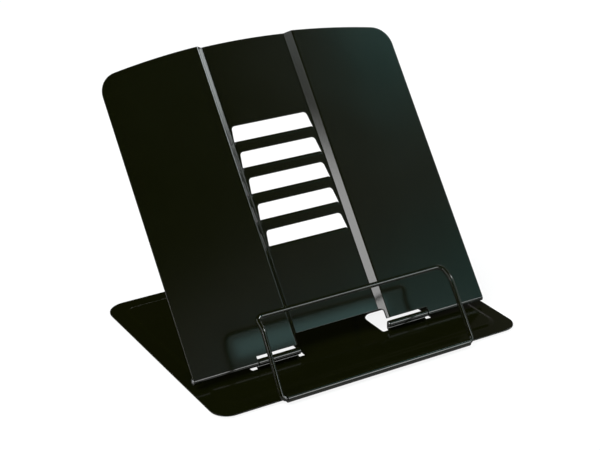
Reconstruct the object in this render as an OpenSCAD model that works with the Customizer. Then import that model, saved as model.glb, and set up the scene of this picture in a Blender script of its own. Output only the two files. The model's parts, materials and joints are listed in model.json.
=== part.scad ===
// Folding desk stand for a book: a sheet steel base, a hinged sheet steel back plate with a
// central channel, a wire strut that hooks into one of five places, and a wire page holder.
// Millimetres. X runs to the right, Y to the rear and Z up. The origin is on the table, under
// the middle of the base and its rolled front seam.

/* [Steel sheet] */
// Thickness of the sheet that the base and the back plate are pressed from
sheet_t = 0.8; // [0.6:0.1:1]
// Inside radius of the pressed bends
bend_r = 0.8; // [0.5:0.1:1.2]

/* [Base plate] */
// Width of the base plate
base_w = 210; // [206:1:240]
// Depth of the base plate, from its straight front edge to its rear edge
base_d = 161; // [156:1:190]
// Radius of the front corners
base_front_r = 11; // [6:0.5:16]
// Radius of the rear corners
base_rear_r = 13.5; // [6:0.5:16]
// Width of the flat rim round the raised panel
rim_w = 8.5; // [6:0.5:10]
// Height of the raised panel above the rim
panel_rise = 0.8; // [0.5:0.1:1.4]
// Width of the sloped wall round the raised panel
panel_wall = 3.5; // [2:0.5:5]
// Corner radius at the foot of that wall
panel_r = 10; // [7:0.5:14]

/* [Front seam] */
// Length of the rolled seam that holds the feet of the page holder
seam_w = 127; // [110:1:128]
// Distance from the front edge of the base to the back of the roll
seam_step = 0.35; // [0.2:0.05:1]

/* [Plate hinge] */
// Diameter of the two hinge pins
pin_d = 2.5; // [2:0.1:3]
// Running gap round a pin or a wire's foot, on the radius
fit_gap = 0.05; // [0.03:0.01:0.1]
// Distance of the hinge axis behind the front edge of the base
hinge_y = 37; // [34:0.5:40]
// Height of the hinge axis above the raised panel
hinge_rise = 4; // [3.6:0.1:5]
// Distance from the middle of the stand to the inner end of a hinge tab
tab_x = 31.8; // [30:0.1:33]
// Width of a hinge tab
tab_w = 28.2; // [24:0.1:30]
// Inside radius of the bend at the foot of any tab
tab_bend_r = 1.4; // [0.8:0.1:1.6]
// Room beside a hinge tab in its window
window_side = 4; // [3:0.5:6]
// Depth of the window that a hinge tab was cut from
window_d = 26; // [18:0.5:40]
// Radius of the far corners of every window in the base
window_r = 8; // [2:0.5:8]
// Radius of a window's corners beside the foot of its tab
window_foot_r = 1; // [0.5:0.1:1.4]

/* [Back plate] */
// Width of the back plate
plate_w = 205; // [190:1:220]
// Length of the back plate, from the hinge axis to the middle of its top edge
plate_l = 197.8; // [190:0.2:230]
// Radius of the top corners
plate_corner_r = 14; // [8:1:20]
// Radius of the long arc of the top edge
plate_arc_r = 494; // [300:1:900]
// Width of the central channel at the front faces of the panels
channel_w = 66.6; // [65:0.2:68]
// Depth of the central channel
channel_depth = 4.2; // [3.4:0.1:4.6]
// Width of each sloped channel wall, seen from the front
channel_slope = 4.1; // [3:0.1:5]
// Distance from the hinge axis to the lower edge of the channel
channel_foot = 10.7; // [9:0.1:14]
// Width of the gap under the channel
foot_gap_w = 63.4; // [61:0.2:65]
// Radius of the upper corners of that gap
foot_gap_r = 2.5; // [1:0.1:3]
// Distance from the hinge axis to the edge over a hinge tab
notch_l = 3.6; // [3.2:0.1:4.6]
// Radius of the corners where that edge turns up into the gap
notch_r = 0.6; // [0.4:0.1:1.4]
// Play between a hem and the hinge tab beside it
hem_play = 0.5; // [0.3:0.1:1]

/* [Slots and hooks] */
// Number of slots, one over another
slot_count = 5; // [3:1:5]
// Distance from one slot to the next
slot_pitch = 17; // [16:0.5:18]
// Height of a slot
slot_h = 9.5; // [8:0.1:10.5]
// Width of a slot at its upper edge
slot_w = 53; // [44:0.5:54]
// How much wider a slot is at its lower edge
slot_flare = 2.7; // [0:0.1:3]
// Radius of the upper corners of a slot
slot_r = 2.5; // [1:0.1:4]
// Distance from the hinge axis to the lower edge of the uppermost slot
slot_top_l = 134; // [128:0.5:140]
// Length of the straight end of a hook
hook_leg = 3.2; // [2:0.1:3.6]

/* [Wires] */
// Diameter of the wire of the page holder and of the strut
wire_d = 3; // [2.6:0.1:3.2]
// Radius of the bend at each foot, on the wire's centre line
foot_bend_r = 3; // [2.8:0.1:4]
// Length of wire inside a roll, at each foot
foot_l = 18; // [12:0.5:22]

/* [Page holder] */
// Width of the page holder at its feet
holder_w = 132.2; // [130:0.1:140]
// Width of the page holder at its top bar
holder_top_w = 129.4; // [120:0.1:140]
// Length of a leg, from the seam to the knee
holder_leg = 40.2; // [34:0.2:44]
// Lean of a leg from the vertical
holder_lean = 34.4; // [25:0.1:40]
// Length of a leg above the knee
holder_lip = 10.3; // [8:0.1:12]
// Lean of a leg above the knee
holder_lip_lean = 65; // [55:0.5:75]
// Radius of the knee
knee_r = 7.6; // [5:0.1:10]
// Radius of the corners beside the top bar
holder_corner_r = 4.4; // [3:0.1:6]

/* [Support strut] */
// Slot whose hook holds the strut, counted from the top
strut_slot = 2; // [1:1:3]
// Distance of the strut's axis in front of the rear edge of the base
strut_inset = 25.5; // [24:0.5:28]
// Height of the strut's axis above the raised panel
strut_rise = 2.2; // [2:0.1:3]
// Width of the strut, between the centre lines of its arms
strut_w = 128; // [122:0.5:134]
// Radius of the corners beside the strut's bar
strut_corner_r = 6; // [4:0.5:10]
// Distance from the hinge plane to the bar where the two lie furthest apart
bar_offset = 9; // [9:0.1:10]
// Plate angle at which that is so
bar_peak = 58; // [50:1:66]
// Distance from the middle of the stand to the inner end of a strut tab
strut_tab_x = 36; // [33:0.5:40]
// Width of a strut tab
strut_tab_w = 24; // [18:0.5:24]
// Depth of the window that a strut tab was cut from
strut_window_d = 20; // [16:0.5:30]
// Room beside a strut tab in its window
strut_window_side = 3; // [2:0.5:4]

/* [Foot pads] */
// Diameter of a rubber pad
pad_d = 12; // [8:0.5:14]
// Height by which a pad stands below the rim of the base
pad_drop = 1.2; // [0.8:0.1:3]
// Distance from the foot of the panel's wall to the middle of a pad
pad_inset = 13.5; // [13:0.5:16]
// Radius of a pad's lower edge
pad_edge_r = 0.6; // [0.3:0.1:0.8]

/* [Hidden] */

paint = [0.08, 0.09, 0.08];
pin_steel = [0.55, 0.56, 0.58];
rubber = [0.13, 0.13, 0.14];

$fn = 64;
// Chords in a rounded corner of an outline
arc_n = 10;
// Overlap of two sheets of one piece that run into each other
lap = 1;
// How far a cutting body passes the sheet that it cuts
past = 2;
// How much thinner a wire is round its bends, on the radius, and how far its straights run in
wire_thin = 0.01;
wire_lap = 0.15;
// Chamfer at the ends of a pin
pin_chamfer = 0.3;
// Angles at which each roll of sheet starts and ends, seen from the right
seam_roll = [-25, 270];
tab_roll = [0, 320];
hem_roll = [90, 375];
hook_roll = [-90, 90];

// Heights of the panel's two faces above the underside of the rim
panel_under = panel_rise;
panel_top = panel_rise + sheet_t;

// Radii of the roll round a wire's foot, and of the curl round a hinge pin
roll_in = wire_d / 2 + fit_gap;
roll_out = roll_in + sheet_t;
curl_in = pin_d / 2 + fit_gap;
curl_out = curl_in + sheet_t;

// Axes of the front seam, the hinge and the strut, measured from the base's front edge
seam_y = -seam_step - roll_out;
hinge_z = panel_top + hinge_rise;
strut_z = panel_top + strut_rise;
front_y = (roll_out - seam_y - base_d) / 2;

// Front and rear faces of the channel's floor, and the outer face of a hook, from the hinge plane
floor_front = curl_out - channel_depth;
floor_rear = floor_front - sheet_t;
hook_r = roll_in + sheet_t / 2;
hook_mid = floor_front - sheet_t / 2 - hook_r;

// The strut's axis lies strut_y behind the hinge axis and strut_fall below it. Its bar keeps nearly
// the same distance from the hinge plane at every plate angle when the strut turns twice as far as
// the plate: strut_run and strut_drop are its length resolved along the base and down, at plate
// angle 0
strut_y = base_d - hinge_y - strut_inset;
strut_fall = hinge_z - strut_z;
strut_run = strut_y - bar_offset * sin(bar_peak);
strut_drop = strut_fall - bar_offset * cos(bar_peak);
strut_l = norm([strut_run, strut_drop]);

// The back plate stands at the angle at which the bar is level with the hook that holds it, which
// is bar_l from the hinge axis
bar_l = slot_top_l - slot_pitch * (strut_slot - 1) - hook_r - sheet_t / 2;
bar_reach = [strut_y + strut_run, strut_fall + strut_drop];
plate_angle = acos(bar_l / norm(bar_reach)) - atan2(bar_reach.y, bar_reach.x);
strut_angle = 2 * plate_angle + atan2(strut_drop, strut_run);

// Points of an arc about c from angle a0 to angle a1, without its two ends if open is true
function arc(c, r, a0, a1, n = arc_n, open = false) =
    [for (i = [(open ? 1 : 0) : (open ? n - 1 : n)])
        let (a = a0 + (a1 - a0) * i / n) c + r * [cos(a), sin(a)]];

function unit(v) = v / norm(v);

// The corner at b, between the sides to a and to c, rounded with radius r
function corner(a, b, c, r) =
    let (u = unit(a - b), v = unit(c - b), half = acos(u * v) / 2,
        m = b + unit(u + v) * r / sin(half), s = b + u * r / tan(half) - m,
        e = b + v * r / tan(half) - m, a0 = atan2(s.y, s.x), a1 = atan2(e.y, e.x),
        turn = (a1 - a0 > 180) ? a1 - a0 - 360 : (a1 - a0 < -180) ? a1 - a0 + 360 : a1 - a0)
    arc(m, r, a0, a0 + turn);

// A closed outline through points [x, y, r], each corner rounded with its own radius
function rounded(p) =
    let (n = len(p))
    [for (i = [0 : n - 1])
        let (a = p[(i + n - 1) % n], b = p[i], c = p[(i + 1) % n])
        each b.z > 0 ? corner([a.x, a.y], [b.x, b.y], [c.x, c.y], b.z) : [[b.x, b.y]]];

// A rectangle from x0 to x1 and from y0 to y1 with rounded corners
function rectangle(x0, x1, y0, y1, r) = rounded([[x0, y0, r], [x1, y0, r], [x1, y1, r], [x0, y1, r]]);

// A profile drawn as (Y, Z), run along X from x0 to x1
module along_x(x0, x1) {
    translate([x0, 0, 0]) rotate([90, 0, 90]) linear_extrude(x1 - x0) children();
}

// A stretch of rolled sheet seen end on, from its first angle to its last, which leaves a gap of
// at most half a turn
module rolled(r_in, roll) {
    reach = 2 * (r_in + sheet_t);
    middle = (roll[0] + 360 + roll[1]) / 2;
    difference() {
        circle(r_in + sheet_t);
        circle(r_in);
        polygon(concat([[0, 0]], [for (a = [roll[1], middle, roll[0]]) reach * [cos(a), sin(a)]]));
    }
}

// The bend at a tab's foot, a quarter turn about the origin that ends on its right
module foot_bend() {
    out = tab_bend_r + sheet_t;
    difference() {
        intersection() {
            circle(out);
            translate([0, -out]) square(out);
        }
        circle(tab_bend_r);
    }
}

// One side of a bent wire, made as a bending machine makes it. Each step is [feed, roll, radius,
// angle]: the wire is fed along Z, rolled about itself and bent round Y towards X
module wire_side(steps, d, i = 0) {
    s = steps[i];
    last = len(steps) - 1;
    start = i > 0 ? wire_lap : 0;
    translate([0, 0, -start]) cylinder(h = s[0] + start + (i < last ? wire_lap : 0), d = d);
    if (i < last) translate([0, 0, s[0]]) rotate([0, 0, s[1]]) {
        translate([s[2], 0, 0]) rotate([90, 0, 180]) rotate_extrude(angle = s[3])
            translate([s[2], 0]) circle(d = d - 2 * wire_thin);
        translate(s[2] * [1 - cos(s[3]), 0, sin(s[3])]) rotate([0, s[3], 0]) wire_side(steps, d, i + 1);
    }
}

// The steps that take a wire through the points of a path, with a radius at each inner point
function wire_steps(path, radii) =
    let (n = len(path) - 1, way = [for (i = [0 : n - 1]) unit(path[i + 1] - path[i])],
        turn = [for (i = [1 : n - 1]) acos(way[i - 1] * way[i])],
        cut = concat([0], [for (i = [0 : n - 2]) radii[i] * tan(turn[i] / 2)], [0]),
        pole = concat([[0, 1, 0]], [for (i = [1 : n - 1]) unit(cross(way[i - 1], way[i]))]))
    [for (i = [0 : n - 1])
        let (feed = norm(path[i + 1] - path[i]) - cut[i] - cut[i + 1])
        i == n - 1 ? [feed] : [feed,
            atan2(cross(pole[i], pole[i + 1]) * way[i], pole[i] * pole[i + 1]), radii[i], turn[i]]];

// A symmetrical bent wire through path, which runs from the middle of the wire to its right foot
module bent_wire(path, radii, d) {
    for (side = [0, 1]) mirror([side, 0, 0])
        translate(path[0]) rotate([0, 90, 0]) wire_side(wire_steps(path, radii), d);
}

// Each sub-part is drawn in the frame of what carries it
module on_base() {
    translate([0, front_y, pad_drop]) children();
}

module at_hinge() {
    translate([0, front_y + hinge_y, pad_drop + hinge_z]) children();
}

// The base's raised panel: its pressed wall as a section swept round the foot, and its flat top
function wall_z(x) = panel_rise * (1 - cos(180 * x / panel_wall)) / 2;

module wall_section() {
    steps = [for (i = [0 : arc_n]) panel_wall * i / arc_n];
    polygon(concat([[-lap, 0]], [for (x = steps) [x, wall_z(x)]],
        [[panel_wall + lap, panel_rise], [panel_wall + lap, panel_top]],
        [for (i = [arc_n : -1 : 0]) [steps[i], wall_z(steps[i]) + sheet_t]], [[-lap, sheet_t]]));
}

module panel_wall_run(length) {
    rotate([90, 0, 90]) translate([0, 0, -length / 2]) linear_extrude(length) wall_section();
}

module raised_panel() {
    w = base_w - 2 * rim_w;
    d = base_d - 2 * rim_w;
    translate([0, rim_w, 0]) panel_wall_run(w - 2 * panel_r);
    translate([0, rim_w + d, 0]) rotate([0, 0, 180]) panel_wall_run(w - 2 * panel_r);
    for (side = [-1, 1]) {
        translate([side * w / 2, rim_w + d / 2, 0]) rotate([0, 0, side * 90]) panel_wall_run(d - 2 * panel_r);
        for (end = [0, 1])
            translate([side * (w / 2 - panel_r), rim_w + panel_r + end * (d - 2 * panel_r), 0])
                rotate([0, 0, side > 0 ? (end > 0 ? 0 : 270) : (end > 0 ? 90 : 180)])
                    rotate_extrude(angle = 90) translate([panel_r, 0]) mirror([1, 0]) wall_section();
    }
    top = panel_wall + lap / 2;
    translate([0, 0, panel_under]) linear_extrude(sheet_t)
        polygon(rectangle(top - w / 2, w / 2 - top, rim_w + top, rim_w + d - top, panel_r - top));
}

module rim() {
    w = rim_w - lap / 2;
    linear_extrude(sheet_t) difference() {
        polygon(rounded([[-base_w / 2, 0, base_front_r], [base_w / 2, 0, base_front_r],
            [base_w / 2, base_d, base_rear_r], [-base_w / 2, base_d, base_rear_r]]));
        polygon(rectangle(w - base_w / 2, base_w / 2 - w, w, base_d - w, panel_r + lap / 2));
    }
}

// The rolled seam: the rim runs forward and rolls up and back round the feet of the page holder
module front_seam() {
    along_x(-seam_w / 2, seam_w / 2) {
        translate([seam_y, 0]) square([lap - seam_y, sheet_t]);
        translate([seam_y, roll_out]) rolled(roll_in, seam_roll);
    }
}

// A lanced tab seen from its end: it leaves the panel under an axis at (0, 0), bends up behind it
// and curls over it towards the front
module tab_section(r_in, height) {
    foot = r_in - tab_bend_r;
    translate([foot - lap, -height - sheet_t]) square([lap, sheet_t]);
    translate([foot, tab_bend_r - height]) foot_bend();
    translate([r_in, tab_bend_r - height]) square([sheet_t, height - tab_bend_r]);
    rolled(r_in, tab_roll);
}

// The two tabs on an axis at y; way is 1 where they curl towards the front and -1 towards the rear
module lanced_tabs(y, x0, width, r_in, rise, way) {
    for (side = [0, 1]) mirror([side, 0, 0])
        along_x(x0, x0 + width) translate([y, panel_top + rise]) mirror([way > 0 ? 0 : 1, 0])
            tab_section(r_in, rise);
}

// The two windows that those tabs leave, which start where the tabs begin to bend
module tab_windows(y, x0, width, room, depth, r_in, way) {
    foot = r_in - tab_bend_r;
    a = x0 - room;
    b = x0 + width + room;
    for (side = [0, 1]) mirror([side, 0, 0])
        translate([0, y, panel_under - past]) mirror([0, way > 0 ? 0 : 1, 0])
            linear_extrude(sheet_t + 2 * past)
                polygon(rounded([[a, foot, window_foot_r], [b, foot, window_foot_r],
                    [b, foot + depth, window_r], [a, foot + depth, window_r]]));
}

module base_plate() {
    strut_at = hinge_y + strut_y;
    color(paint) on_base() {
        difference() {
            union() {
                rim();
                raised_panel();
            }
            tab_windows(hinge_y, tab_x, tab_w, window_side, window_d, curl_in, 1);
            tab_windows(strut_at, strut_tab_x, strut_tab_w, strut_window_side, strut_window_d, roll_in, -1);
        }
        front_seam();
        lanced_tabs(hinge_y, tab_x, tab_w, curl_in, hinge_rise, 1);
        lanced_tabs(strut_at, strut_tab_x, strut_tab_w, roll_in, strut_rise, -1);
    }
}

// The back plate is drawn with the hinge axis at the origin, Y up the plate and Z to the front
function plate_outline() =
    let (x = plate_w / 2 - plate_corner_r, r = plate_arc_r - plate_corner_r,
        mid = [0, plate_l - plate_arc_r], y = mid.y + sqrt(r * r - x * x),
        a = atan2(y - mid.y, x), h = tab_x + tab_w + hem_play, g = foot_gap_w / 2)
    concat([[plate_w / 2, 0]], arc([x, y], plate_corner_r, 0, a),
        arc(mid, plate_arc_r, a, 180 - a, 4 * arc_n, true), arc([-x, y], plate_corner_r, 180 - a, 180),
        rounded([[-plate_w / 2, 0, 0], [-h, 0, 0], [-h, notch_l, 0], [-g, notch_l, notch_r],
            [-g, channel_foot, foot_gap_r], [g, channel_foot, foot_gap_r], [g, notch_l, notch_r],
            [h, notch_l, 0], [h, 0, 0]]));

// Front line of the channel's section, and the same line one sheet further back
function channel_line(back) =
    let (fall = atan2(channel_depth, channel_slope), shift = back * tan(fall / 2),
        a = [plate_w / 2, curl_out - back], b = [channel_w / 2 + shift, curl_out - back],
        c = [b.x - channel_slope, floor_front - back], d = [0, floor_front - back])
    concat([a], corner(a, b, c, bend_r + sheet_t - back), corner(b, c, d, bend_r + back));

module plate_section() {
    front = channel_line(0);
    rear = channel_line(sheet_t);
    n = len(front) - 1;
    polygon(concat(front, [for (i = [n : -1 : 0]) [-front[i].x, front[i].y]],
        [for (p = rear) [-p.x, p.y]], [for (i = [n : -1 : 0]) rear[i]]));
}

// One slot, with its cut reaching down to where the flap starts to curl
module slot(y) {
    low = hook_r + sheet_t / 2;
    half = slot_w / 2;
    flare = slot_flare / 2;
    translate([0, y, floor_rear - past]) linear_extrude(sheet_t + 2 * past)
        polygon(rounded([[-half - flare, 0, 0], [-half - flare, -low, 0], [half + flare, -low, 0],
            [half + flare, 0, 0], [half, slot_h, slot_r], [-half, slot_h, slot_r]]));
}

// The slot's flap, rolled back and down into a hook that is open at its lower side
module hook(y) {
    low = hook_r + sheet_t / 2;
    half = (slot_w + slot_flare) / 2 - fit_gap;
    intersection() {
        along_x(-half, half) translate([y - low, hook_mid]) {
            rolled(roll_in, hook_roll);
            translate([-hook_leg, -roll_out]) square([hook_leg, sheet_t]);
            translate([-lap, roll_in]) square([lap, sheet_t]);
        }
        translate([0, y, hook_mid - roll_out - past]) linear_extrude(2 * roll_out + 2 * past)
            polygon(rounded([[-half, -low - hook_leg, slot_r], [half, -low - hook_leg, slot_r],
                [half, past, 0], [-half, past, 0]]));
    }
}

module hem() {
    for (side = [-1, 1])
        along_x(side > 0 ? tab_x + tab_w + hem_play : -plate_w / 2,
            side > 0 ? plate_w / 2 : -tab_x - tab_w - hem_play) {
            rolled(curl_in, hem_roll);
            translate([0, curl_in]) square([lap, sheet_t]);
        }
}

module back_plate() {
    color(paint) at_hinge() rotate([plate_angle, 0, 0]) {
        difference() {
            intersection() {
                translate([0, plate_l, 0]) rotate([90, 0, 0]) linear_extrude(plate_l) plate_section();
                translate([0, 0, floor_rear - past]) linear_extrude(channel_depth + sheet_t + 2 * past)
                    polygon(plate_outline());
            }
            for (i = [0 : slot_count - 1]) slot(slot_top_l - i * slot_pitch);
        }
        for (i = [0 : slot_count - 1]) hook(slot_top_l - i * slot_pitch);
        hem();
    }
}

// A pin through a hem and a hinge tab; side is -1 at the left and 1 at the right
module hinge_pin(side) {
    length = plate_w / 2 - tab_x;
    color(pin_steel) at_hinge() translate([side * tab_x, 0, 0]) rotate([0, side * 90, 0])
        rotate_extrude() polygon([[0, 0], [pin_d / 2 - pin_chamfer, 0], [pin_d / 2, pin_chamfer],
            [pin_d / 2, length - pin_chamfer], [pin_d / 2 - pin_chamfer, length], [0, length]]);
}

module hinge_pin_left() {
    hinge_pin(-1);
}

module hinge_pin_right() {
    hinge_pin(1);
}

module page_holder() {
    knee = holder_leg * [sin(holder_lean), cos(holder_lean)];
    top = knee + holder_lip * [sin(holder_lip_lean), cos(holder_lip_lean)];
    knee_x = holder_w / 2 + (holder_top_w - holder_w) / 2 * holder_leg / (holder_leg + holder_lip);
    color(paint) on_base() translate([0, seam_y, roll_out])
        bent_wire([[0, top.x, top.y], [holder_top_w / 2, top.x, top.y], [knee_x, knee.x, knee.y],
            [holder_w / 2, 0, 0], [seam_w / 2 - foot_l, 0, 0]],
            [holder_corner_r, knee_r, foot_bend_r], wire_d);
}

module support_strut() {
    foot_in = strut_tab_x + strut_tab_w - foot_l;
    color(paint) on_base() translate([0, hinge_y + strut_y, strut_z]) rotate([strut_angle, 0, 0])
        bent_wire([[0, strut_l, 0], [strut_w / 2, strut_l, 0], [strut_w / 2, 0, 0], [foot_in, 0, 0]],
            [strut_corner_r, foot_bend_r], wire_d);
}

// A stuck-on rubber pad under a corner of the raised panel
module foot_pad(side, rear) {
    y = rim_w + pad_inset;
    h = pad_drop + panel_under;
    color(rubber) on_base()
        translate([side * (base_w / 2 - rim_w - pad_inset), rear ? base_d - y : y, -pad_drop])
            rotate_extrude() {
                square([pad_d / 2 - pad_edge_r, h]);
                translate([0, pad_edge_r]) square([pad_d / 2, h - pad_edge_r]);
                translate([pad_d / 2 - pad_edge_r, pad_edge_r]) circle(pad_edge_r);
            }
}

module foot_pad_front_left() {
    foot_pad(-1, false);
}

module foot_pad_front_right() {
    foot_pad(1, false);
}

module foot_pad_rear_left() {
    foot_pad(-1, true);
}

module foot_pad_rear_right() {
    foot_pad(1, true);
}

base_plate();
back_plate();
hinge_pin_left();
hinge_pin_right();
page_holder();
support_strut();
foot_pad_front_left();
foot_pad_front_right();
foot_pad_rear_left();
foot_pad_rear_right();
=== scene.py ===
"""The finish of a folding desk stand for a book: black powder coated sheet steel and black wire.

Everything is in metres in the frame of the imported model: X to the reader's right, Y to the rear,
Z up, and the table at Z = 0. Directions are given as an azimuth (0 to the front, 90 to the right)
and an elevation, in degrees.
"""

import json
import math

import bmesh
import bpy
import numpy as np
from mathutils import Matrix, Vector


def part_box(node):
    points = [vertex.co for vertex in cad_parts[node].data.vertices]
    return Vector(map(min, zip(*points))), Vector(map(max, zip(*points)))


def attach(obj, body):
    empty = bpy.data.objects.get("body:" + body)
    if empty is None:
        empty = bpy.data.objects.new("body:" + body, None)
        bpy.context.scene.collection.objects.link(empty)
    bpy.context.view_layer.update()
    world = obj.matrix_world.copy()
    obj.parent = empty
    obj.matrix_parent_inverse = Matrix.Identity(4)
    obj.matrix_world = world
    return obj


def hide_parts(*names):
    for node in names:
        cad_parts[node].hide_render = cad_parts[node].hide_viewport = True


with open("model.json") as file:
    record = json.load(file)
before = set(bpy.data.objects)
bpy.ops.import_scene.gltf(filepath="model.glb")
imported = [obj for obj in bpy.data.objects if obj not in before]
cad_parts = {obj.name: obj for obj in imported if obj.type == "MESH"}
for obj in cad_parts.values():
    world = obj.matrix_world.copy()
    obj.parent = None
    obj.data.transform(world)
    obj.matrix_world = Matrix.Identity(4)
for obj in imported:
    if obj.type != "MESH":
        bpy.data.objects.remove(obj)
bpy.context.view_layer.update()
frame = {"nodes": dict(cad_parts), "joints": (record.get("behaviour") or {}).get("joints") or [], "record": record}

# Camera: the point that it looks at, where it stands as seen from there, and its lens and reach
AIM = (-0.0045, 0.0031, 0.0655)
DISTANCE = 0.8547
AZIMUTH = -30.1
ELEVATION = 23.45
ROLL = -0.93
FOCAL_LENGTH = 83.95
SENSOR_WIDTH = 36.0
NEAREST = 0.01
FARTHEST = 100.0

# Wire, and how finely it and its rounded ends are drawn
WIRE_D = 0.003
WIRE_SIDES = 32
BEND_STEP = 4.0
END_ROUND = 0.0004
END_RINGS = 5
FOOT_BEND_R = 0.003

# Page holder: width at the feet and at the bar, leg and lip with their lean from the vertical
HOLDER_W = 0.1322
HOLDER_TOP_W = 0.1294
HOLDER_LEG = 0.0402
HOLDER_LEAN = 34.4
HOLDER_LIP = 0.0103
HOLDER_LIP_LEAN = 65.0
KNEE_R = 0.0076
HOLDER_CORNER_R = 0.0044
HOLDER_FOOT_X = 0.0455

# Support strut: width between its arms, its corners and the inner ends of its feet
STRUT_W = 0.128
STRUT_CORNER_R = 0.006
STRUT_FOOT_X = 0.042

# Sheet steel: how far its painted edges are rounded and in how many steps, the angle from which
# an edge is sharp, how near points and how level faces are merged, and the Weighted Normal
# modifier's weight, at which the largest face alone gives a corner its shading
EDGE_R = 0.00022
EDGE_STEPS = 3
EDGE_ANGLE = 40.0
WELD = 2e-6
LEVEL_ANGLE = 0.5
LARGEST_FACE_ONLY = 100

# Finishes: the two tones that each has, and the paint's fine grain
PAINT_DARK = (0.0022, 0.0026, 0.0002)
PAINT_LIGHT = (0.0029, 0.0034, 0.0005)
PAINT_GRAIN = (0.0044, 0.0048, 0.0016)
STEEL_DARK = (0.42, 0.43, 0.45)
STEEL_LIGHT = (0.62, 0.62, 0.63)
RUBBER_BLACK = (0.010, 0.010, 0.011)
RUBBER_DUSTY = (0.026, 0.026, 0.027)

# The studio that glosses mirror: its walls, its glows, and how far three of these cover them
STUDIO_DIM = (0.012, 0.012, 0.004)
STUDIO_GREY = (0.15, 0.14, 0.14)
STUDIO_TEAL = (0.15, 1.0, 1.0)
STUDIO_SIDE = (2.1, 2.2, 2.2)
STUDIO_SKY = (1.5, 1.6, 1.6)
REAR_SHARE = 0.5
CORNER_SHARE = 0.7
FOOT_SHARE = 0.33

# Lamps: far ones face the middle of the stand, and the small card faces the foot of its plate
WHITE_LIGHT = (1.0, 1.0, 1.0)
PALE_TEAL = (0.93, 1.0, 1.0)
STAND_MIDDLE = Vector((0.0, 0.0, 0.07))
LAMP_DISTANCE = 2.2
CARD_AT = Vector((0.0466, -0.1335, 0.1063))
CARD_FACING = Vector((0.0, 0.736, -0.677))
CARD_SIZE = (0.124, 0.0126)
CARD_RADIANCE = 1.05
CARD_TINT = (0.5, 1.0, 1.0)

# Table top: its size, its matt colour, and its own white with its share and its strength in glosses
TABLE_SIZE = 30.0
TABLE_MATT = (0.95, 0.95, 0.95, 1.0)
WHITE = (1.0, 1.0, 1.0, 1.0)
WHITE_SHARE = 0.88
TABLE_IN_GLOSS = 0.3

# Sockets of the Mix node that share their names with others: those for colours
MIX_FACTOR, MIX_A, MIX_B, MIX_RESULT = 0, 6, 7, 2


def unit(v):
    """Vectors along the last axis, each divided by its length."""
    v = np.asarray(v, float)
    return v / np.linalg.norm(v, axis=-1, keepdims=True)


def heading(azimuth, elevation):
    """The unit vector towards an azimuth and an elevation: the azimuth's sine and minus its cosine,
    both times the elevation's cosine, and the elevation's sine."""
    a, e = math.radians(azimuth), math.radians(elevation)
    return np.array([math.sin(a) * math.cos(e), -math.cos(a) * math.cos(e), math.sin(e)])


class Shade:
    """One output of a shader node. Python's operators on it add the Math nodes that work it out."""

    def __init__(self, tree, output=None):
        self.tree = tree
        self.output = output

    def node(self, kind, values=None, settings=None, out=0):
        """A node of any kind: first its settings, then its inputs. The result is one of its
        outputs, by name or place."""
        new = self.tree.nodes.new("ShaderNode" + kind)
        for name, value in (settings or {}).items():
            setattr(new, name, value)
        for name, value in (values or {}).items():
            if isinstance(value, Shade):
                self.tree.links.new(value.output, new.inputs[name])
            else:
                new.inputs[name].default_value = value
        return Shade(self.tree, new.outputs[out] if len(new.outputs) else None)

    def maths(self, operation, a, b=0.0):
        """A Math node on two numbers, or on one where its function takes no more."""
        return self.node("Math", {0: a, 1: b}, {"operation": operation})

    def mix(self, factor, a, b):
        """Colour a where factor is 0 and colour b where it is 1."""
        a, b = (colour if isinstance(colour, Shade) else (*colour, 1.0) for colour in (a, b))
        values = {MIX_FACTOR: factor, MIX_A: a, MIX_B: b}
        return self.node("Mix", values, {"data_type": "RGBA"}, out=MIX_RESULT)

    def blend(self, factor, a, b):
        """Shader a where factor is 0 and shader b where it is 1."""
        return self.node("MixShader", {0: factor, 1: a, 2: b})

    def step(self, start, end):
        """0 up to start and 1 past end, with a smooth step between."""
        return self.node("MapRange", {"Value": self, "From Min": start, "From Max": end},
                         {"interpolation_type": "SMOOTHSTEP"})

    def between(self, rise, fall):
        """1 between two smooth steps and 0 outside them; each is where it starts and where it ends."""
        return self.step(*rise) * self.step(*fall)

    def __add__(self, other):
        return self.maths("ADD", self, other)

    __radd__ = __add__

    def __sub__(self, other):
        return self.maths("SUBTRACT", self, other)

    def __rsub__(self, other):
        return self.maths("SUBTRACT", other, self)

    def __mul__(self, other):
        return self.maths("MULTIPLY", self, other)

    __rmul__ = __mul__


def material(name):
    """An empty material and the Shade that adds its nodes."""
    made = bpy.data.materials.new(name)
    made.use_nodes = True
    made.node_tree.nodes.clear()
    return made, Shade(made.node_tree)


def noise(shade, place, waves, detail=2.0, roughness=0.5):
    """Smooth noise from 0 to 1, with so many waves in a metre."""
    return shade.node("TexNoise", {
        "Vector": place, "Scale": waves, "Detail": detail, "Roughness": roughness})


def black_paint():
    """Black powder coat: cloudy tone and gloss, a fine grain, the orange peel of its surface and
    the slow waves of the sheet below."""
    made, s = material("black_paint")
    place = s.node("TexCoord", out="Object")
    cloud = noise(s, place, waves=28.0)
    grain = noise(s, place, waves=1500.0, detail=1.0)
    peel = noise(s, place, waves=420.0, detail=1.0)
    sheet = noise(s, place, waves=16.0, detail=1.0)
    colour = s.mix(cloud, PAINT_DARK, PAINT_LIGHT)
    colour = s.mix(0.25 * grain, colour, PAINT_GRAIN)
    fine = s.node("Bump", {"Height": peel + 0.35 * grain, "Strength": 0.12, "Distance": 0.00004})
    slow = s.node("Bump", {"Height": sheet, "Strength": 0.35, "Distance": 0.0006, "Normal": fine})
    shader = s.node("BsdfPrincipled", {
        "Base Color": colour, "Roughness": 0.105 + 0.03 * cloud, "Normal": slow})
    s.node("OutputMaterial", {"Surface": shader})
    return made


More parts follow.
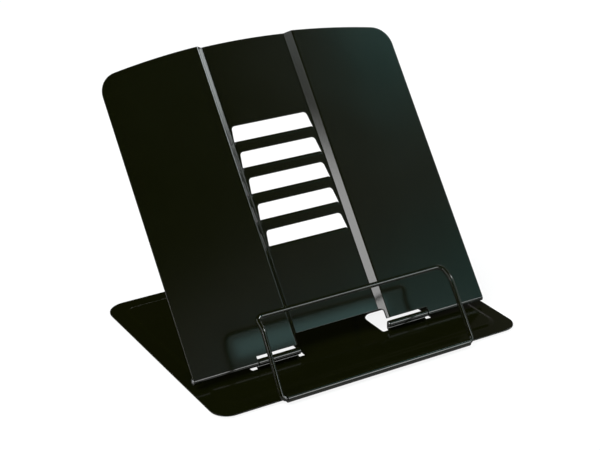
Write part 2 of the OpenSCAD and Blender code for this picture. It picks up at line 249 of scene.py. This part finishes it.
def pin_steel():
    """Drawn steel: fine lines along X, with a slightly uneven tone."""
    made, s = material("pin_steel")
    place = s.node("TexCoord", out="Object")
    drawn = s.node("Mapping", {"Vector": place, "Scale": (0.02, 1.0, 1.0)})
    lines = noise(s, drawn, waves=3000.0)
    tone = noise(s, place, waves=400.0)
    shader = s.node("BsdfPrincipled", {
        "Base Color": s.mix(tone, STEEL_DARK, STEEL_LIGHT),
        "Metallic": 1.0,
        "Roughness": 0.24 + 0.14 * lines,
        "Normal": s.node("Bump", {"Height": lines, "Strength": 0.2, "Distance": 0.00002})})
    s.node("OutputMaterial", {"Surface": shader})
    return made


def pad_rubber():
    """Matt black rubber with a fine moulded grain and a little dust."""
    made, s = material("pad_rubber")
    place = s.node("TexCoord", out="Object")
    grain = noise(s, place, waves=2600.0, detail=3.0)
    dust = noise(s, place, waves=160.0, detail=3.0, roughness=0.65)
    shader = s.node("BsdfPrincipled", {
        "Base Color": s.mix(dust, RUBBER_BLACK, RUBBER_DUSTY),
        "Roughness": 0.72 + 0.16 * grain,
        "Normal": s.node("Bump", {"Height": grain, "Strength": 0.5, "Distance": 0.00005})})
    s.node("OutputMaterial", {"Surface": shader})
    return made


def placed(name, data):
    """A new object in the scene, at the origin and unturned."""
    made = bpy.data.objects.new(name, data)
    bpy.context.scene.collection.objects.link(made)
    return made


def finished(mesh, finish):
    """Gives the whole of a mesh one material."""
    mesh.materials.clear()
    mesh.materials.append(finish)


def joint_at(name):
    """The place of a joint's axis, as its Y and Z."""
    return next(j["pos_m"][1:] for j in frame["joints"] if j["name"] == name)


def bent_line(points, radii):
    """The centre line of a bent wire: straights through points, joined at each inner point by an
    arc of its radius r, which is c + r (cos(a) u + sin(a) w). Its centre c lies between the two
    straights, u points from there to where the arc begins, w is the way that the wire comes, and
    a runs from 0 to the angle that it turns."""
    points = np.asarray(points, float)
    line = [points[:1]]
    for before, at, after, r in zip(points, points[1:], points[2:], radii):
        come, go = unit(at - before), unit(after - at)
        turn = math.acos(float(np.clip(come @ go, -1, 1)))
        centre = at + unit(go - come) * r / math.cos(turn / 2)
        u = unit(at - come * r * math.tan(turn / 2) - centre)
        steps = max(3, math.ceil(math.degrees(turn) / BEND_STEP))
        angle = np.linspace(0, turn, steps)[:, None]
        line.append(centre + r * (np.cos(angle) * u + np.sin(angle) * come))
    line.append(points[-1:])
    return np.concatenate(line)


def wire(name, points, radii, ahead, finish):
    """A round wire along bent_line: ring i, side j is p(i) + r(i) (cos(a(j)) s(i) + sin(a(j)) t(i)),
    where s is square to the line at p and to ahead, and t to the line and s. Each cut end is
    rounded over by END_ROUND, in rings that shrink as 1 - cos and go back as 1 - sin of an angle."""
    line = bent_line(points, radii)
    along = unit(np.gradient(line, axis=0))
    along[0], along[-1] = unit(line[1] - line[0]), unit(line[-1] - line[-2])
    angle = np.linspace(0, math.pi / 2, END_RINGS)
    shrink, back = END_ROUND * (1 - np.cos(angle)), END_ROUND * (1 - np.sin(angle))
    start = line[0] + along[0] * back[::-1, None]
    end = line[-1] - along[-1] * back[:, None]
    line = np.concatenate([start, line[1:-1], end])
    first, last = (np.repeat(way[None], END_RINGS, 0) for way in (along[0], along[-1]))
    along = np.concatenate([first, along[1:-1], last])
    radius = np.full(len(line), WIRE_D / 2)
    radius[:END_RINGS] -= shrink[::-1]
    radius[-END_RINGS:] -= shrink
    s = unit(np.cross(along, ahead))[:, None, :]
    t = np.cross(along[:, None, :], s)
    a = (2 * math.pi * np.arange(WIRE_SIDES) / WIRE_SIDES)[None, :, None]
    grid = line[:, None, :] + radius[:, None, None] * (np.cos(a) * s + np.sin(a) * t)
    at = np.arange(len(line) * WIRE_SIDES).reshape(-1, WIRE_SIDES)
    beside = np.roll(at, -1, axis=1)
    quads = np.stack([at[:-1], beside[:-1], beside[1:], at[1:]], -1).reshape(-1, 4)
    mesh = bpy.data.meshes.new(name)
    mesh.from_pydata(grid.reshape(-1, 3).tolist(), [], quads.tolist() + at[[0, -1]].tolist())
    mesh.validate()
    outwards(mesh)
    finished(mesh, finish)
    piece = placed(name, mesh)
    return piece


def outwards(mesh):
    """Turns every face of a closed mesh outwards and shades it smooth."""
    turned = bmesh.new()
    turned.from_mesh(mesh)
    bmesh.ops.recalc_face_normals(turned, faces=turned.faces)
    turned.to_mesh(mesh)
    turned.free()
    mesh.shade_smooth()


def both_sides(right, bends):
    """The points and bends of a whole wire, from those of its right half."""
    left = [(-x, *rest) for x, *rest in reversed(right)]
    return right + left, bends + bends[::-1]


def page_holder(finish):
    """The swinging wire that holds the pages, from its foot in one end of the seam to the other."""
    y, z = joint_at("holder_hinge")
    lean, lip = math.radians(HOLDER_LEAN), math.radians(HOLDER_LIP_LEAN)
    knee = (y + HOLDER_LEG * math.sin(lean), z + HOLDER_LEG * math.cos(lean))
    top = (knee[0] + HOLDER_LIP * math.sin(lip), knee[1] + HOLDER_LIP * math.cos(lip))
    narrowing = (HOLDER_TOP_W - HOLDER_W) / 2
    knee_x = HOLDER_W / 2 + narrowing * HOLDER_LEG / (HOLDER_LEG + HOLDER_LIP)
    right = [(HOLDER_FOOT_X, y, z), (HOLDER_W / 2, y, z), (knee_x, *knee), (HOLDER_TOP_W / 2, *top)]
    points, bends = both_sides(right, [FOOT_BEND_R, KNEE_R, HOLDER_CORNER_R])
    across = (lean + lip) / 2
    piece = wire("page_holder_wire", points, bends, (0, math.cos(across), -math.sin(across)), finish)
    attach(piece, "holder")
    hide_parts("page_holder")


def support_strut(finish):
    """The wire strut behind the plate, from its foot in one rear tab to the other."""
    y, z = joint_at("strut_hinge")
    low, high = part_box("support_strut")
    top = (low.y + WIRE_D / 2, high.z - WIRE_D / 2)
    right = [(STRUT_FOOT_X, y, z), (STRUT_W / 2, y, z), (STRUT_W / 2, *top)]
    points, bends = both_sides(right, [FOOT_BEND_R, STRUT_CORNER_R])
    arm = unit((0, top[0] - y, top[1] - z))
    piece = wire("support_strut_wire", points, bends, (0, arm[2], -arm[1]), finish)
    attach(piece, "strut")
    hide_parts("support_strut")


def softened(node, body, finish):
    """A sheet steel piece with its painted edges rounded: a merged copy of the node, in faces as
    large as its flats, with a narrow bevel along each sharp edge."""
    merged = bmesh.new()
    merged.from_mesh(frame["nodes"][node].data)
    bmesh.ops.remove_doubles(merged, verts=merged.verts, dist=WELD)
    bmesh.ops.dissolve_limit(merged, angle_limit=math.radians(LEVEL_ANGLE),
                             verts=merged.verts, edges=merged.edges)
    mesh = bpy.data.meshes.new(node + "_sheet")
    merged.to_mesh(mesh)
    merged.free()
    finished(mesh, finish)
    mesh.shade_smooth()
    piece = placed(node + "_sheet", mesh)
    bevel = piece.modifiers.new("painted_edge", "BEVEL")
    bevel.width = EDGE_R
    bevel.use_clamp_overlap = False
    bevel.segments = EDGE_STEPS
    bevel.limit_method = "ANGLE"
    bevel.angle_limit = math.radians(EDGE_ANGLE)
    flats = piece.modifiers.new("flat_faces", "WEIGHTED_NORMAL")
    flats.keep_sharp = True
    flats.weight = LARGEST_FACE_ONLY
    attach(piece, body)
    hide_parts(node)


def camera():
    """Stands at AZIMUTH and ELEVATION from AIM, looks at it and is rolled about its line of sight."""
    back = heading(AZIMUTH, ELEVATION)
    right = unit(np.cross(-back, (0, 0, 1)))
    up = np.cross(back, right)
    roll = math.radians(ROLL)
    place = np.eye(4)
    place[:3, 0] = right * math.cos(roll) + up * math.sin(roll)
    place[:3, 1] = up * math.cos(roll) - right * math.sin(roll)
    place[:3, 2] = back
    place[:3, 3] = np.array(AIM) + back * DISTANCE
    data = bpy.data.cameras.new("camera")
    data.lens = FOCAL_LENGTH
    data.sensor_fit = "HORIZONTAL"
    data.sensor_width = SENSOR_WIDTH
    data.clip_start = NEAREST
    data.clip_end = FARTHEST
    made = placed("camera", data)
    made.matrix_world = Matrix(place.tolist())
    bpy.context.scene.camera = made


def lamp(name, at, towards, size, radiance, tint=WHITE_LIGHT):
    """A flat lamp of a width and height in metres. Its power is pi * area * radiance."""
    data = bpy.data.lights.new(name, "AREA")
    data.shape = "RECTANGLE"
    data.size, data.size_y = size
    data.energy = math.pi * size[0] * size[1] * radiance
    data.color = tint
    made = placed(name, data)
    made.location = at
    made.rotation_euler = (towards - at).to_track_quat("-Z", "Y").to_euler()
    made.visible_camera = False
    return made


def softbox(name, azimuth, elevation, size, radiance, tint=WHITE_LIGHT):
    """A far lamp that faces the stand. Its width and height are as seen from there, in degrees."""
    at = STAND_MIDDLE + LAMP_DISTANCE * Vector(heading(azimuth, elevation))
    size = [2 * LAMP_DISTANCE * math.tan(math.radians(angle / 2)) for angle in size]
    return lamp(name, at, STAND_MIDDLE, size, radiance, tint)


def lights():
    """A large soft lamp over the left, of which no gloss shows an image, narrower ones in front and
    at the sides, which draw the light lines on wires, bends and rolled edges, and a small card
    before the plate's foot."""
    overhead = softbox("overhead", azimuth=-105, elevation=54, size=(42, 42), radiance=7.5)
    overhead.visible_glossy = False
    softbox("front", azimuth=24.5, elevation=20.2, size=(27, 20.2), radiance=6.0)
    softbox("right", azimuth=75, elevation=39, size=(22, 20), radiance=15.0, tint=PALE_TEAL)
    softbox("left", azimuth=-73, elevation=22.2, size=(16, 10.6), radiance=7.5)
    lamp("foot_card", CARD_AT, CARD_AT + CARD_FACING, CARD_SIZE, CARD_RADIANCE, CARD_TINT)


def surroundings():
    """The dim studio round the table, by the azimuth and the elevation of a direction in degrees.
    A grey glow lies low in front and to the right, and reaches higher there. It turns teal in
    that upper corner, and again low on the right. A fainter grey one lies farther round to the
    rear, a small bright one low on the right, and a large bright one high on the left. A camera
    ray, and a ray that goes through something, see white instead."""
    world = bpy.data.worlds.new("studio")
    bpy.context.scene.world = world
    world.use_nodes = True
    world.node_tree.nodes.clear()
    s = Shade(world.node_tree)
    ray = s.node("TexCoord", out="Generated")
    x, y, z = (s.node("SeparateXYZ", {"Vector": ray}, out=axis) for axis in "XYZ")
    azimuth = math.degrees(1) * s.maths("ARCTAN2", x, -1 * y)
    elevation = math.degrees(1) * s.maths("ARCSINE", z)
    end = azimuth.step(70, 55) * elevation.step(65, 52)
    low = elevation.step(42.3, 39.6) * azimuth.step(5, 20)
    right = (azimuth - 0.5 * elevation).step(14.5, 22.5)
    grey = s.maths("MAXIMUM", low, right) * end
    corner = (azimuth - 0.7 * elevation).step(13.6, 18.1) * elevation.step(38.5, 44.5) * end
    foot = azimuth.step(20, 38) * elevation.step(39.5, 33.5) * end
    rear = azimuth.between((88, 100), (147, 137)) * elevation.step(50, 40)
    side = azimuth.between((52, 57), (70, 65)) * elevation.between((20, 24), (36, 31))
    sky = azimuth.between((-165, -145), (-50, -65)) * elevation.between((27.5, 31), (62, 50))
    colour = s.mix(grey, STUDIO_DIM, STUDIO_GREY)
    colour = s.mix(REAR_SHARE * rear, colour, STUDIO_GREY)
    colour = s.mix(CORNER_SHARE * corner, colour, STUDIO_TEAL)
    colour = s.mix(side, colour, STUDIO_SIDE)
    colour = s.mix(sky, colour, STUDIO_SKY)
    colour = s.mix(FOOT_SHARE * foot, colour, STUDIO_TEAL)
    dim = s.node("Background", {"Color": colour, "Strength": 1.0})
    white = s.node("Background", {"Color": WHITE, "Strength": 1.0})
    straight = s.node("LightPath", out="Is Camera Ray")
    through = s.node("LightPath", out="Is Transmission Ray")
    seen = s.maths("MAXIMUM", straight, through)
    s.node("OutputWorld", {"Surface": s.blend(seen, dim, white)})


def table():
    """A white table top. What a ray of the camera sees of it, straight, through or by a gloss, is
    almost all white of its own, and the rest is matt and takes the object's shadow. A gloss sees
    it dimmer, because the photographed stand mirrors a dim studio below it as well."""
    made, s = material("table_top")
    straight = s.node("LightPath", out="Is Camera Ray")
    gloss = s.node("LightPath", out="Is Glossy Ray")
    through = s.node("LightPath", out="Is Transmission Ray")
    seen = s.maths("MAXIMUM", s.maths("MAXIMUM", straight, gloss), through)
    strength = 1 - (1 - TABLE_IN_GLOSS) * gloss
    matt = s.node("BsdfDiffuse", {"Color": TABLE_MATT})
    white = s.node("Emission", {"Color": WHITE, "Strength": strength})
    s.node("OutputMaterial", {"Surface": s.blend(WHITE_SHARE * seen, matt, white)})
    half = TABLE_SIZE / 2
    corners = [(-half, -half, 0), (half, -half, 0), (half, half, 0), (-half, half, 0)]
    mesh = bpy.data.meshes.new("table_top")
    mesh.from_pydata(corners, [], [(0, 1, 2, 3)])
    finished(mesh, made)
    top = placed("table_top", mesh)


camera()
FINISHES = {"black_paint": black_paint(), "pin_steel": pin_steel(), "pad_rubber": pad_rubber()}
for part in frame["record"]["subparts"]:
    finished(frame["nodes"][part["node"]].data, FINISHES[part["material_slot"]])
paint = FINISHES["black_paint"]
softened("base_plate", "base", paint)
softened("back_plate", "plate", paint)
page_holder(paint)
support_strut(paint)
lights()
surroundings()
table()
bpy.context.scene.view_settings.view_transform = "Standard"
